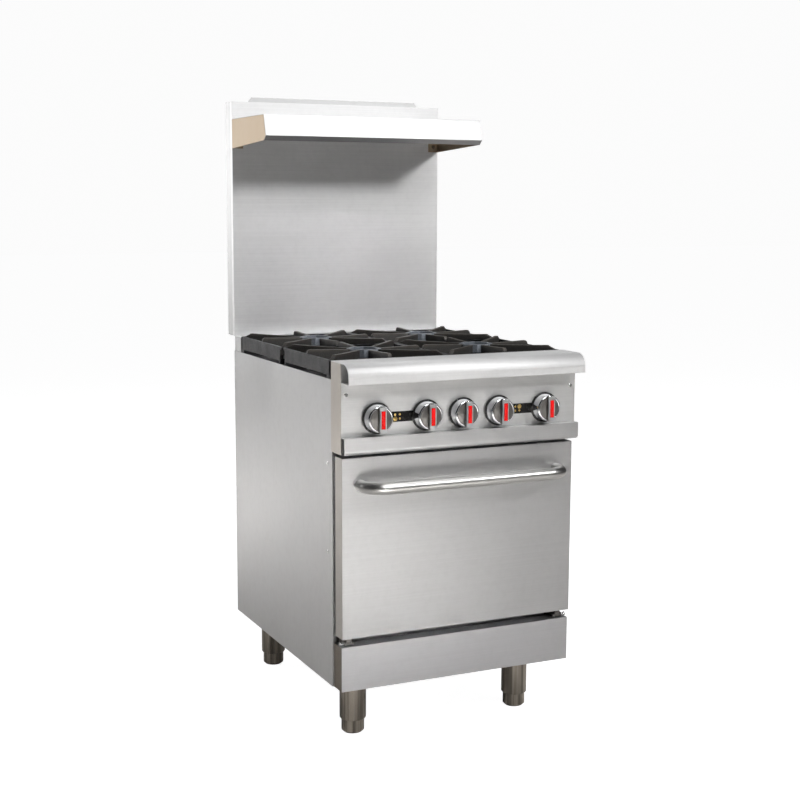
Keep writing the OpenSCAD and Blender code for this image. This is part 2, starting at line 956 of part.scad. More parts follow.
module shelf_bolts() {
    x = riser_w / 2 - 16;
    color("dimgray")
        both_sides()
            for (z = [shelf_z - 62, shelf_z - 25])
                rod_y(x, [riser_y - 5.5, riser_y - 1.5], z, 5);
}

// ---------- legs ----------

module leg_tubes() {
    bore = foot_d / 2 + 0.5;
    nut_z = [98, 108];
    color("dimgray")
        for (x = leg_places)
            for (y = [leg_front, leg_rear])
                translate([x, y, 0])
                    difference() {
                        union() {
                            rotate_extrude()
                                polygon([[0, 33], [leg_d / 2 - 2.5, 33], [leg_d / 2, 36],
                                         [leg_d / 2, body_z], [0, body_z]]);
                            translate([0, 0, body_z]) cylinder(h = 8, r = 8);
                        }
                        translate([0, 0, 30]) cylinder(h = nut_z[0] - 30, r = bore);
                        translate([0, 0, nut_z[1]]) cylinder(h = body_z - nut_z[1] - 3, r = bore);
                        translate([0, 0, 90]) cylinder(h = 30, r = 8 + running);
                    }
}

module foot_at(x, y) {
    r = foot_d / 2;
    color("dimgray")
        translate([x, y, 0]) {
            rotate_extrude()
                polygon([[0, 0], [r - 5, 0], [r, 5], [r, 45], [0, 45]]);
            translate([0, 0, 44]) cylinder(h = 96, r = 8);
        }
}

module foot_front_left() { foot_at(leg_places[0], leg_front); }

module foot_front_right() { foot_at(leg_places[1], leg_front); }

module foot_rear_left() { foot_at(leg_places[0], leg_rear); }

module foot_rear_right() { foot_at(leg_places[1], leg_rear); }

// ---------- the assembly ----------

base_pan();
side_panel_left();
side_panel_right();
back_panel();
front_frame();
oven_liner();
oven_floor();
rack_guides();
oven_insulation();
door_gasket();
hinge_brackets();
hinge_pins();
control_panel();
control_end_caps();
front_rail();
label_plates();
panel_screws();
gas_manifold();
gas_inlet_pipe();
burner_valves();
oven_thermostat();
oven_gas_tube();
oven_safety_valve();
oven_burner();
burner_bodies();
burner_caps();
pilot_tubes();
top_frame();
stub_back();
riser_front();
riser_rear();
flue_deflector();
riser_uprights();
flue_duct();
shelf();
shelf_brackets();
shelf_bolts();
leg_tubes();
door_skin();
door_inner_panel();
door_insulation();
door_handle();
door_hinge_arms();
knob_front_left();
knob_rear_left();
knob_oven();
knob_rear_right();
knob_front_right();
grate_front_left();
grate_front_right();
grate_rear_left();
grate_rear_right();
foot_front_left();
foot_front_right();
foot_rear_left();
foot_rear_right();
crumb_tray();
kick_plate();
oven_rack();
safety_button();
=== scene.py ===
import json
import math

import bmesh
import bpy
from mathutils import Matrix, Vector


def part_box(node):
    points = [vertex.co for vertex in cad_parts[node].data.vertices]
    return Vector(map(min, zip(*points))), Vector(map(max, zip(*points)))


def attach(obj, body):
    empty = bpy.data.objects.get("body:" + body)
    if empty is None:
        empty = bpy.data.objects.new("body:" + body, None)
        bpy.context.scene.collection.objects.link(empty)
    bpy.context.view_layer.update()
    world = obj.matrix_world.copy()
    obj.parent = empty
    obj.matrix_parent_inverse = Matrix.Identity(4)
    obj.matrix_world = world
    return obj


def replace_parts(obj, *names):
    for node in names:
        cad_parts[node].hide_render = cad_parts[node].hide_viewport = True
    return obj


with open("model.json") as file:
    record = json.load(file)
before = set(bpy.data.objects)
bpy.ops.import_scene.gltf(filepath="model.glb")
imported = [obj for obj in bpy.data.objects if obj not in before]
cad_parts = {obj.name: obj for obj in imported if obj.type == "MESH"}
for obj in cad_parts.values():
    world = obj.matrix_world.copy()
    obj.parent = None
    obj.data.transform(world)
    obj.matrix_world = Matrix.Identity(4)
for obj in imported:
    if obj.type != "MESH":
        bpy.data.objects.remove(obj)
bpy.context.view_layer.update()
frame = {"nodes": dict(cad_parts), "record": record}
MM = 0.001
ROOT = "range_body"


# ---------- camera ----------

CAMERA_PLACE = (-1.50544, -3.24628, 1.27053)
CAMERA_YAW, CAMERA_PITCH, CAMERA_ROLL = 25.049, 8.0195, 0.198
LENS_MM, SENSOR_MM = 63.63, 36


def add_camera():
    """The viewing angle: from the front left, slightly above the cooktop."""
    yaw, pitch, roll = map(math.radians, (CAMERA_YAW, CAMERA_PITCH, CAMERA_ROLL))
    forward = Vector((math.sin(yaw) * math.cos(pitch), math.cos(yaw) * math.cos(pitch), -math.sin(pitch)))
    level = Vector((math.cos(yaw), -math.sin(yaw), 0))
    upright = level.cross(forward)
    right = level * math.cos(roll) + upright * math.sin(roll)
    up = upright * math.cos(roll) - level * math.sin(roll)
    data = bpy.data.cameras.new("camera")
    data.sensor_width = SENSOR_MM
    data.lens = LENS_MM
    data.clip_end = 100
    camera = bpy.data.objects.new("camera", data)
    camera.matrix_world = Matrix((
        (right.x, up.x, -forward.x, CAMERA_PLACE[0]),
        (right.y, up.y, -forward.y, CAMERA_PLACE[1]),
        (right.z, up.z, -forward.z, CAMERA_PLACE[2]),
        (0, 0, 0, 1),
    ))
    bpy.context.scene.collection.objects.link(camera)
    bpy.context.scene.camera = camera


# ---------- material helpers ----------

class Nodes:
    """A short way to write a node tree."""

    def __init__(self, tree):
        self.tree = tree
        tree.nodes.clear()

    def add(self, kind, inputs=None, **settings):
        node = self.tree.nodes.new(kind)
        for key, value in settings.items():
            setattr(node, key, value)
        for key, value in (inputs or {}).items():
            if isinstance(value, bpy.types.NodeSocket):
                self.tree.links.new(value, node.inputs[key])
            else:
                node.inputs[key].default_value = value
        return node

    def coords(self, scale):
        place = self.add("ShaderNodeTexCoord")
        return self.add("ShaderNodeMapping", {"Vector": place.outputs["Object"], "Scale": scale}).outputs[0]

    def noise(self, scale, detail=3.0, rough=0.5):
        return self.add("ShaderNodeTexNoise", {"Vector": self.coords(scale), "Scale": 1.0,
                                               "Detail": detail, "Roughness": rough}).outputs["Fac"]

    def spread(self, value, low, high, out_low=0.0, out_high=1.0):
        return self.add("ShaderNodeMapRange", {"Value": value, "From Min": low, "From Max": high,
                                               "To Min": out_low, "To Max": out_high}).outputs[0]

    def mix(self, fac, a, b, blend="MIX"):
        node = self.add("ShaderNodeMix", data_type="RGBA", blend_type=blend)
        for key, value in ((0, fac), (6, a), (7, b)):
            if isinstance(value, bpy.types.NodeSocket):
                self.tree.links.new(value, node.inputs[key])
            elif key == 0:
                node.inputs[key].default_value = value
            else:
                node.inputs[key].default_value = (*value, 1)
        return node.outputs[2]

    def math(self, kind, a, b=0.0):
        node = self.add("ShaderNodeMath", operation=kind)
        for key, value in ((0, a), (1, b)):
            if isinstance(value, bpy.types.NodeSocket):
                self.tree.links.new(value, node.inputs[key])
            else:
                node.inputs[key].default_value = value
        return node.outputs[0]

    def bump(self, height, strength, distance):
        return self.add("ShaderNodeBump", {"Height": height, "Strength": strength,
                                           "Distance": distance}).outputs[0]

    def surface(self, **inputs):
        """The shader and the output. Uniform values go straight on the shader's sockets."""
        shader = self.add("ShaderNodeBsdfPrincipled")
        for name, value in inputs.items():
            key = name.replace("_", " ")
            if isinstance(value, bpy.types.NodeSocket):
                self.tree.links.new(value, shader.inputs[key])
            elif isinstance(value, tuple) and len(value) == 3:
                shader.inputs[key].default_value = (*value, 1)
            else:
                shader.inputs[key].default_value = value
        out = self.add("ShaderNodeOutputMaterial")
        self.tree.links.new(shader.outputs[0], out.inputs[0])


def new_material(name):
    material = bpy.data.materials.new(name)
    material.use_nodes = True
    return material, Nodes(material.node_tree)


def tint(color, factor):
    return tuple(min(1.0, c * factor) for c in color)


# Grain runs along one axis: slow along it, fine across it
GRAIN = {"x": (2.5, 420, 420), "y": (420, 2.5, 420), "z": (420, 420, 2.5)}


CLOUD = 0.04


def brushed(name, color, grain, rough, streak=0.045, flank=None, painted_under_shade=None, painted_stripe_depth=0.0, metal=1.0):
    """Brushed stainless sheet: streaks along the grain and faint clouds.

    flank and the colour for faces turned down are painted shade: darker colours for faces turned to the left
    and down.
    The stripe depth darkens the colour in painted reflection stripes along Z.
    """
    material, n = new_material(name)
    streaks = n.noise(GRAIN[grain], detail=4, rough=0.65)
    clouds = n.noise((5, 5, 5), detail=3, rough=0.6)
    mottle = n.noise((60, 60, 60), detail=4, rough=0.6)
    base = n.mix(n.spread(streaks, 0.3, 0.7), tint(color, 1 - streak), tint(color, 1 + streak))
    shade = n.mix(n.spread(clouds, 0.35, 0.65), tint((1, 1, 1), 1 - CLOUD), (1, 1, 1))
    base = n.mix(1.0, base, shade, "MULTIPLY")
    base = n.mix(n.spread(mottle, 0.45, 0.75, 0, 0.10), base, tint(color, 0.6))
    # Painted reflection: stripes along Z that darken the colour by up to the stripe depth.
    if painted_stripe_depth:
        drawn = n.noise((75, 75, 1.2), detail=2, rough=0.5)
        shade = n.mix(n.spread(drawn, 0.38, 0.62), tint((1, 1, 1), 1 - painted_stripe_depth), (1, 1, 1))
        base = n.mix(1.0, base, shade, "MULTIPLY")
    # Painted shade: faces turned to the left, and faces turned down, take a darker colour.
    for axis, painted_shade in ((0, flank), (2, painted_under_shade)):
        if painted_shade:
            normal = n.add("ShaderNodeTexCoord").outputs["Normal"]
            facing = n.add("ShaderNodeSeparateXYZ", {"Vector": normal}).outputs[axis]
            base = n.mix(n.spread(facing, -0.6, -0.9), base, painted_shade)
    roughness = n.math("ADD", n.spread(streaks, 0.3, 0.7, rough - 0.05, rough + 0.05),
                       n.spread(clouds, 0.3, 0.7, -0.03, 0.03))
    n.surface(Base_Color=base, Metallic=metal, Roughness=roughness, Normal=n.bump(streaks, 0.10, 0.0002))
    return material


def plain_metal(name, color, rough=0.3, fine=250, wear=0.15, strength=0.08):
    """Plated, cast or drawn metal with smudges and fine grain."""
    material, n = new_material(name)
    grain = n.noise((fine, fine, fine), detail=4, rough=0.6)
    smudge = n.noise((18, 18, 18), detail=4, rough=0.65)
    base = n.mix(n.spread(smudge, 0.35, 0.7), color, tint(color, 1 - wear))
    roughness = n.spread(smudge, 0.3, 0.7, rough * 0.75, rough * 1.3)
    n.surface(Base_Color=base, Metallic=1.0, Roughness=roughness, Normal=n.bump(grain, strength, 0.0002))
    return material


def galvanised(name, color):
    """Dull zinc-coated sheet with a soft spangle."""
    material, n = new_material(name)
    cells = n.add("ShaderNodeTexVoronoi", {"Vector": n.coords((1, 1, 1)), "Scale": 70.0}).outputs["Color"]
    spangle = n.add("ShaderNodeSeparateColor", {"Color": cells}).outputs[0]
    clouds = n.noise((9, 9, 9), detail=4)
    base = n.mix(n.spread(spangle, 0, 1), tint(color, 0.86), tint(color, 1.1))
    base = n.mix(n.spread(clouds, 0.4, 0.7, 0, 0.35), base, tint(color, 0.7))
    n.surface(Base_Color=base, Metallic=0.9, Roughness=n.spread(spangle, 0, 1, 0.38, 0.52),
              Normal=n.bump(clouds, 0.05, 0.0006))
    return material


def cast_iron(name, color, low, high):
    """Seasoned sand casting: grainy, near black, rubbed lighter between the heights low and high."""
    material, n = new_material(name)
    grain = n.noise((420, 420, 420), detail=5, rough=0.7)
    pits = n.noise((120, 120, 120), detail=3, rough=0.6)
    rust = n.noise((30, 30, 30), detail=4, rough=0.6)
    place = n.add("ShaderNodeTexCoord").outputs["Object"]
    height = n.add("ShaderNodeSeparateXYZ", {"Vector": place}).outputs[2]
    rubbed = n.math("MULTIPLY", n.spread(height, low, high), n.spread(rust, 0.35, 0.65, 0.3, 1.0))
    base = n.mix(n.spread(grain, 0.3, 0.7), tint(color, 0.75), tint(color, 1.5))
    base = n.mix(n.math("MULTIPLY", rubbed, 0.5), base, (0.17, 0.145, 0.12))
    height_map = n.math("ADD", grain, pits)
    n.surface(Base_Color=base, Metallic=0.25, Roughness=n.spread(rust, 0.3, 0.7, 0.42, 0.62),
              Normal=n.bump(height_map, 0.35, 0.0008))
    return material


def enamel(name, color, fleck):
    """Glassy oven enamel with small pale flecks."""
    material, n = new_material(name)
    voronoi = n.add("ShaderNodeTexVoronoi", {"Vector": n.coords((1, 1, 1)), "Scale": 420.0})
    cells = voronoi.outputs["Distance"]
    patches = n.noise((40, 40, 40), detail=3)
    dots = n.math("MULTIPLY", n.spread(cells, 0.22, 0.12), n.spread(patches, 0.5, 0.6))
    waves = n.noise((25, 25, 25), detail=2)
    n.surface(Base_Color=n.mix(dots, color, fleck), Roughness=n.spread(waves, 0.3, 0.7, 0.12, 0.24),
              Coat_Weight=0.5, Coat_Roughness=0.08, Normal=n.bump(waves, 0.06, 0.001))
    return material


def plastic(name, color, rough, strength=0.05):
    """Moulded plastic or paint, a little dusty, with uneven gloss."""
    material, n = new_material(name)
    dust = n.noise((160, 160, 160), detail=4, rough=0.6)
    smear = n.noise((35, 35, 35), detail=3)
    base = n.mix(n.spread(dust, 0.5, 0.8, 0, 0.12), color, (0.35, 0.33, 0.3))
    n.surface(Base_Color=base, Roughness=n.spread(smear, 0.3, 0.7, rough * 0.7, rough * 1.4),
              Normal=n.bump(dust, strength, 0.0003))
    return material


def fibre(name, color, size):
    """Mineral wool or woven glass rope."""
    material, n = new_material(name)
    strands = n.noise((size, size * 0.2, size), detail=5, rough=0.75)
    base = n.mix(n.spread(strands, 0.3, 0.7), tint(color, 0.6), tint(color, 1.15))
    n.surface(Base_Color=base, Roughness=0.95, Sheen_Weight=0.3, Normal=n.bump(strands, 0.8, 0.002))
    return material


STEEL = (0.60, 0.60, 0.60)
# A darker, warm steel colour: painted warm reflection and shade.
PAINTED_WARM_REFLECTION = (0.54, 0.505, 0.465)

# Each steel part has its own copy of the brushed steel, its colour set part by part to stand in for the light
# it gets: the control panel, lip, rail and riser are lighter copies (painted light), the door, kick plate,
# shelf and handle are darker copies (painted shade), and the side panels keep the base tone. The door's and
# kick plate's left-facing colours and the shelf's downward colour are painted shade.
mats = {
    "steel_x": brushed("steel_along_x", STEEL, "x", 0.47),
    "steel_z": brushed("steel_along_z", STEEL, "z", 0.47),
    "steel_door": brushed("steel_door", (0.535, 0.535, 0.535), "x", 0.47, flank=(0.50, 0.475, 0.445)),
    "steel_kick": brushed("steel_kick", (0.58, 0.58, 0.59), "x", 0.47, flank=(0.24, 0.21, 0.175)),
    "steel_panel": brushed("steel_panel", (0.68, 0.68, 0.675), "x", 0.5, metal=0.85),
    "steel_lip": brushed("steel_lip", (0.62, 0.62, 0.62), "x", 0.46),
    "deck": brushed("deck_steel", (0.05, 0.05, 0.052), "x", 0.4),
    # End caps: a darker, warm copy of the steel, painted warm reflection and shade.
    "steel_warm": brushed("steel_warm", PAINTED_WARM_REFLECTION, "z", 0.42),
    # Shelf brackets: a much darker, tan copy of the steel, painted shade with a warm painted reflection.
    "steel_tan": brushed("steel_tan", (0.36, 0.285, 0.205), "z", 0.45),
    "steel_rail": brushed("steel_rail", (0.77, 0.77, 0.77), "x", 0.6, metal=0.85),
    "steel_shelf": brushed("steel_shelf", (0.455, 0.455, 0.46), "x", 0.47, painted_under_shade=(0.13, 0.13, 0.135)),
    "steel_riser": brushed("steel_riser", (0.80, 0.80, 0.80), "x", 0.52, metal=0.9),
    "galvanised": galvanised("galvanised", (0.42, 0.43, 0.44)),
    "enamel": enamel("oven_enamel", (0.012, 0.014, 0.02), (0.5, 0.5, 0.52)),
    "wire": plain_metal("plated_wire", (0.62, 0.62, 0.62), 0.22),
    "wool": fibre("mineral_wool", (0.62, 0.52, 0.3), 220),
    "gasket": fibre("woven_gasket", (0.11, 0.11, 0.11), 600),
    "hinge": plain_metal("hinge_steel", (0.2, 0.19, 0.18), 0.4),
    "bright": plain_metal("bright_steel", (0.7, 0.7, 0.7), 0.16),
    "label": plastic("label_black", (0.006, 0.006, 0.006), 0.16),
    "pipe": plastic("painted_pipe", (0.03, 0.03, 0.032), 0.4, 0.2),
    "brass": plain_metal("machined_brass", (0.62, 0.44, 0.17), 0.25),
    "valve": plain_metal("die_cast", (0.45, 0.45, 0.45), 0.42, 180, 0.2, 0.2),
    "copper": plain_metal("copper_tube", (0.62, 0.3, 0.17), 0.3),
    # Legs: a warm brown copy of the steel and stripes along Z, both painted reflection.
    "leg": brushed("leg_steel", (0.46, 0.415, 0.355), "z", 0.3, streak=0.10, painted_stripe_depth=0.62),
    "handle": brushed("handle_steel", (0.56, 0.555, 0.54), "x", 0.33, streak=0.06),
    "chrome": plain_metal("knob_chrome", (0.88, 0.89, 0.92), 0.045, 300, 0.06, 0.02),
    "silver": plain_metal("knob_frame", (0.66, 0.67, 0.68), 0.38, 300, 0.05, 0.03),
    "knob_face": brushed("knob_face", (0.135, 0.128, 0.120), "z", 0.45, streak=0.3, metal=0.6),
    "black": plastic("knob_black", (0.008, 0.008, 0.008), 0.3),
    "red": plastic("red_insert", (0.72, 0.004, 0.004), 0.18, 0.02),
    "gold": plain_metal("gold_print", (0.65, 0.46, 0.16), 0.35),
}
grate_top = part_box("grate_front_left")[1].z
mats["iron"] = cast_iron("grate_iron", (0.034, 0.034, 0.036), grate_top - 0.006, grate_top)
# The fins: a lighter, slightly warm copy of the grate iron, painted light; their rubbed top edges are wear.
mats["fin_iron"] = cast_iron("fin_iron", (0.048, 0.046, 0.043), grate_top - 0.009, grate_top)
# The ring: a pale blue-grey copy of the grate iron, painted reflection; its rubbed top edge is wear.
mats["ring_iron"] = cast_iron("ring_iron", (0.20, 0.22, 0.25), grate_top - 0.004, grate_top)
NOWHERE = (10, 11)  # heights that no casting reaches: it isn't rubbed
mats["burner_iron"] = cast_iron("burner_iron", (0.02, 0.02, 0.02), *NOWHERE)

SLOT_MATERIALS = {
    "stainless": "steel_x", "galvanised": "galvanised", "enamel": "enamel", "chrome_wire": "wire",
    "mineral_wool": "wool", "gasket": "gasket", "hinge_steel": "hinge", "bright_steel": "bright",
    "black_label": "label", "gas_pipe": "pipe", "brass": "brass", "valve_body": "valve", "copper": "copper",
    "cast_iron": "burner_iron", "leg_steel": "leg", "handle_steel": "handle", "knob_chrome": "chrome",
    "red_plastic": "red",
}
NODE_MATERIALS = {
    "side_panel_left": "steel_z", "side_panel_right": "steel_z",
    "control_end_caps": "steel_warm", "shelf_brackets": "steel_tan", "front_rail": "steel_rail",
    "riser_front": "steel_riser", "shelf": "steel_shelf",
    "door_skin": "steel_door", "kick_plate": "steel_kick", "control_panel": "steel_panel",
    "crumb_tray": "steel_lip", "top_frame": "deck",
}


# Radius in millimetres by which the edges of these sheets and tubes are eased. The side panels stay sharp:
# easing the edges of their small screw holes streaks their flat faces.
FOLDED = {
    "control_panel": 0.4, "control_end_caps": 0.45, "front_rail": 0.5,
    "crumb_tray": 0.5, "door_skin": 0.5, "kick_plate": 0.5, "shelf": 0.5,
    "shelf_brackets": 0.5, "riser_front": 0.5, "riser_rear": 0.5, "flue_deflector": 0.4,
    "front_frame": 0.4, "stub_back": 0.5, "leg_tubes": 0.6, "back_panel": 0.4, "label_plates": 0.3,
}


WELD_GAP = 0.02 * MM
FOLD_ANGLE, CORNER_ANGLE = 40, 35


def dress_cad():
    """Every CAD node that stays gets its material, and thin edges lose their sharpness."""
    slots = {row["node"]: row["material_slot"] for row in frame["record"]["subparts"]}
    for name, node in frame["nodes"].items():
        material = mats[NODE_MATERIALS.get(name, SLOT_MATERIALS[slots[name]])]
        node.data.materials.clear()
        node.data.materials.append(material)
        if name in FOLDED:
            weld = node.modifiers.new("weld", "WELD")
            weld.merge_threshold = WELD_GAP
            edge = node.modifiers.new("edge", "BEVEL")
            edge.width = FOLDED[name] * MM
            edge.segments = 2
            edge.limit_method = "ANGLE"
            edge.angle_limit = math.radians(FOLD_ANGLE)
            edge.use_clamp_overlap = True
            edge.harden_normals = True


# ---------- mesh helpers ----------

def add_piece(name, mesh, material, body, slot, bevel=0.0, segments=2):
    """A finished piece on its CAD body."""
    mesh.materials.append(mats[material])
    piece = bpy.data.objects.new(name, mesh)
    bpy.context.scene.collection.objects.link(piece)
    for face in mesh.polygons:
        face.use_smooth = True
    mesh.set_sharp_from_angle(angle=math.radians(CORNER_ANGLE))
    if bevel:
        rounding = piece.modifiers.new("rounding", "BEVEL")
        rounding.width = bevel
        rounding.segments = segments
        rounding.limit_method = "ANGLE"
        rounding.angle_limit = math.radians(CORNER_ANGLE)
        rounding.harden_normals = True
    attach(piece, body)
    return piece


def mesh_from(name, parts):
    """One mesh from several (vertices, faces) shells."""
    vertices, faces = [], []
    for part_vertices, part_faces in parts:
        start = len(vertices)
        vertices += [tuple(v) for v in part_vertices]
        faces += [tuple(i + start for i in face) for face in part_faces]
    mesh = bpy.data.meshes.new(name)
    mesh.from_pydata(vertices, [], faces)
    work = bmesh.new()
    work.from_mesh(mesh)
    bmesh.ops.recalc_face_normals(work, faces=work.faces)
    work.to_mesh(mesh)
    work.free()
    return mesh


def loft(rings):
    """A closed shell through rings of points, with flat ends."""
    count = len(rings[0])
    vertices = [point for ring in rings for point in ring]
    faces = []
    for i in range(len(rings) - 1):
        for j in range(count):
            k = (j + 1) % count
            faces.append((i * count + j, i * count + k, (i + 1) * count + k, (i + 1) * count + j))
    faces.append(tuple(range(count))[::-1])
    faces.append(tuple((len(rings) - 1) * count + j for j in range(count)))
    return vertices, faces


def moved(part, matrix):
    """The same shell in another place."""
    return [matrix @ Vector(v) for v in part[0]], part[1]


def cuboid(x, y, z, taper=0.0):
    """A block from its limits, drawn in by taper at the top."""
    low = [(x[0], y[0], z[0]), (x[1], y[0], z[0]), (x[1], y[1], z[0]), (x[0], y[1], z[0])]
    high = [(x[0] + taper, y[0] + taper, z[1]), (x[1] - taper, y[0] + taper, z[1]),
            (x[1] - taper, y[1] - taper, z[1]), (x[0] + taper, y[1] - taper, z[1])]
    return loft([low, high])


def lathe(profile, steps=48):
    """Turns (radius, height) points about Z. Points on the axis close the ends."""
    vertices, faces, rings = [], [], []
    for radius, height in profile:
        if radius < 1e-7:
            rings.append([len(vertices)])
            vertices.append((0, 0, height))
        else:
            rings.append(list(range(len(vertices), len(vertices) + steps)))
            vertices += [(radius * math.cos(2 * math.pi * i / steps),
                          radius * math.sin(2 * math.pi * i / steps), height) for i in range(steps)]
    for lower, upper in zip(rings, rings[1:]):
        for i in range(steps):
            j = (i + 1) % steps
            corners = [lower[i % len(lower)], lower[j % len(lower)],
                       upper[j % len(upper)], upper[i % len(upper)]]
            face = [v for k, v in enumerate(corners) if v not in corners[:k]]
            if len(face) > 2:
                faces.append(tuple(face))
    return vertices, faces


def arc(center, radius, start, end, steps):
    """Points of an arc in a plane, angles in degrees."""
    out = []
    for i in range(steps + 1):
        a = math.radians(start + (end - start) * i / steps)
        out.append((center[0] + radius * math.cos(a), center[1] + radius * math.sin(a)))
    return out


# ---------- grates ----------

# All in metres. WALL is the frame's thickness, PAD the size of its corner feet and NOTCH the corner cut
# that clears the top frame where two rows of grates meet.
WALL, PAD, NOTCH = 0.0085, 0.0215, 0.014
SKIRT_LOW, BRIDGE_LOW, FRAME_TOP, PAD_TOP = 0.008, 0.036, 0.042, 0.012
FIN_START, FIN_FOOT = 0.036, 0.030
RING_FOOT = 0.030
LAP = 0.001


def fin(reach, end, low, high):
    """One radial fin along +X: thicker at its foot, its straight top rising to a square-cut outer end."""
    outline = [
        (FIN_START, low + FIN_FOOT), (FIN_START, high - 0.0035),
        (reach - 0.046, high - 0.0016), (reach - 0.005, high), (reach - 0.0006, high - 0.003),
        (end, low + 0.0405), (end, low + 0.021), (reach - 0.030, low + 0.025),
    ]

    def half(z):
        return 0.0048 + 0.0011 * (high - z) / 0.03

    left = [(r, half(z), z) for r, z in outline]
    right = [(r, -half(z), z) for r, z in outline]
    return loft([left, right])


def octagon(apothem, z):
    """Eight corners, flat sides square to X and Y."""
    radius = apothem / math.cos(math.radians(22.5))
    angles = [math.radians(22.5 + 45 * i) for i in range(8)]
    return [(radius * math.cos(a), radius * math.sin(a), z) for a in angles]


def grate_ring(low, high):
    """The eight-sided ring that the fins run into."""
    rings = [octagon(0.041, low + RING_FOOT), octagon(0.0385, high - 0.002),
             octagon(0.0315, high - 0.002), octagon(0.0325, low + RING_FOOT)]
    vertices = [p for ring in rings for p in ring]
    faces = []
    for i in range(4):
        k = (i + 1) % 4
        for j in range(8):
            m = (j + 1) % 8
            faces.append((i * 8 + j, i * 8 + m, k * 8 + m, k * 8 + j))
    return vertices, faces


def grate_frame(x, y, low, meet):
    """Four walls on four corner feet, about the origin. meet is the side in Y that faces the other row."""
    def block(xs, ys, bottom, top):
        return cuboid(sorted(xs), sorted(ys), (low + bottom, low + top))

    parts = []
    for side in (-1, 1):
        across = (side * x, side * (x - WALL))
        parts.append(block(across, (-meet * y, meet * (y - NOTCH)), SKIRT_LOW, FRAME_TOP))
        parts.append(block(across, (meet * (y - NOTCH - 2 * LAP), meet * y), BRIDGE_LOW, FRAME_TOP))
        for end in (-1, 1):
            pad_y = (end * y, end * (y - PAD))
            if end == meet:
                parts.append(block((side * (x - NOTCH), side * (x - PAD)), pad_y, 0, PAD_TOP))
                parts.append(block((side * x, side * (x - NOTCH - LAP)),
                                   (end * (y - NOTCH), end * (y - PAD)), 0, PAD_TOP))
            else:
                parts.append(block((side * x, side * (x - PAD)), pad_y, 0, PAD_TOP))
    near, far = (meet * y, meet * (y - WALL)), (-meet * y, -meet * (y - WALL))
    parts.append(block((-x, x), far, SKIRT_LOW, FRAME_TOP))
    parts.append(block((-x + NOTCH, x - NOTCH), near, SKIRT_LOW, FRAME_TOP))
    parts.append(block((-x, x), near, BRIDGE_LOW, FRAME_TOP))
    return parts


def add_grate(node):
    """Frame, eight fins and ring of one grate, sized from its CAD box."""
    low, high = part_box(node)
    center = Matrix.Translation(((low.x + high.x) / 2, (low.y + high.y) / 2, 0))
    x, y = (high.x - low.x) / 2, (high.y - low.y) / 2
    meet = -1 if "rear" in node else 1
    mesh = mesh_from(node + "_cast", [moved(part, center) for part in grate_frame(x, y, low.z, meet)])
    piece = add_piece(node + "_cast", mesh, "iron", node, "cast_iron", bevel=0.0013, segments=3)
    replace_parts(piece, node)

    corner = math.hypot(x, y)
    fins = []
    for angle in range(0, 360, 45):
        if angle % 90 == 0:
            flat = x if angle % 180 == 0 else y
            shape = fin(flat - 0.005, flat - 0.003, low.z, high.z)
        else:
            shape = fin(corner - 0.026, corner - 0.009, low.z, high.z)
        fins.append(moved(shape, center @ Matrix.Rotation(math.radians(angle), 4, "Z")))
    mesh = mesh_from(node + "_fins", fins)
    add_piece(node + "_fins", mesh, "fin_iron", node, "cast_iron", bevel=0.0011)
    mesh = mesh_from(node + "_ring", [moved(grate_ring(low.z, high.z), center)])
    add_piece(node + "_ring", mesh, "ring_iron", node, "cast_iron", bevel=0.0012)


# ---------- knobs ----------

# All in metres, measured from the control panel's face
BASE_BACK, BASE_FRONT = 0.0015, 0.0065
SPINDLE_RADIUS, SPINDLE_BACK, SPINDLE_FRONT = 0.004, -0.0246, 0.003
SKIRT_BACK, FACE_BACK, FACE_FRONT = 0.0066, 0.0272, 0.0284
GRIP_HALF, GRIP_BACK, GRIP_INSET = 0.0082, 0.020, 0.0022
FRAME_EASE, FRAME_DEPTH, FRAME_INSET = 0.0004, 0.006, 0.0007
WINDOW_HALF, WINDOW_GAP = 0.0051, 0.0002


def knob_skirt(radius, face_radius):
    """The plated bell: a steep flank, a round shoulder and a hollow for the face."""
    rim = radius - 0.0034
    flank = [(radius - 0.0045, SKIRT_BACK), (rim, 0.0078)]
    flank += [(rim - 0.0042 * t, 0.0078 + 0.0177 * t) for t in (0.15, 0.4, 0.65, 0.9)]
    shoulder = arc((face_radius + 0.0014, 0.0250), 0.0038, 15, 90, 6)
    hollow = [(face_radius + 0.0005, FACE_FRONT), (face_radius + 0.0001, 0.0278), (0, 0.0278)]
    return lathe([(0, SKIRT_BACK)] + flank + shoulder + hollow, 64)


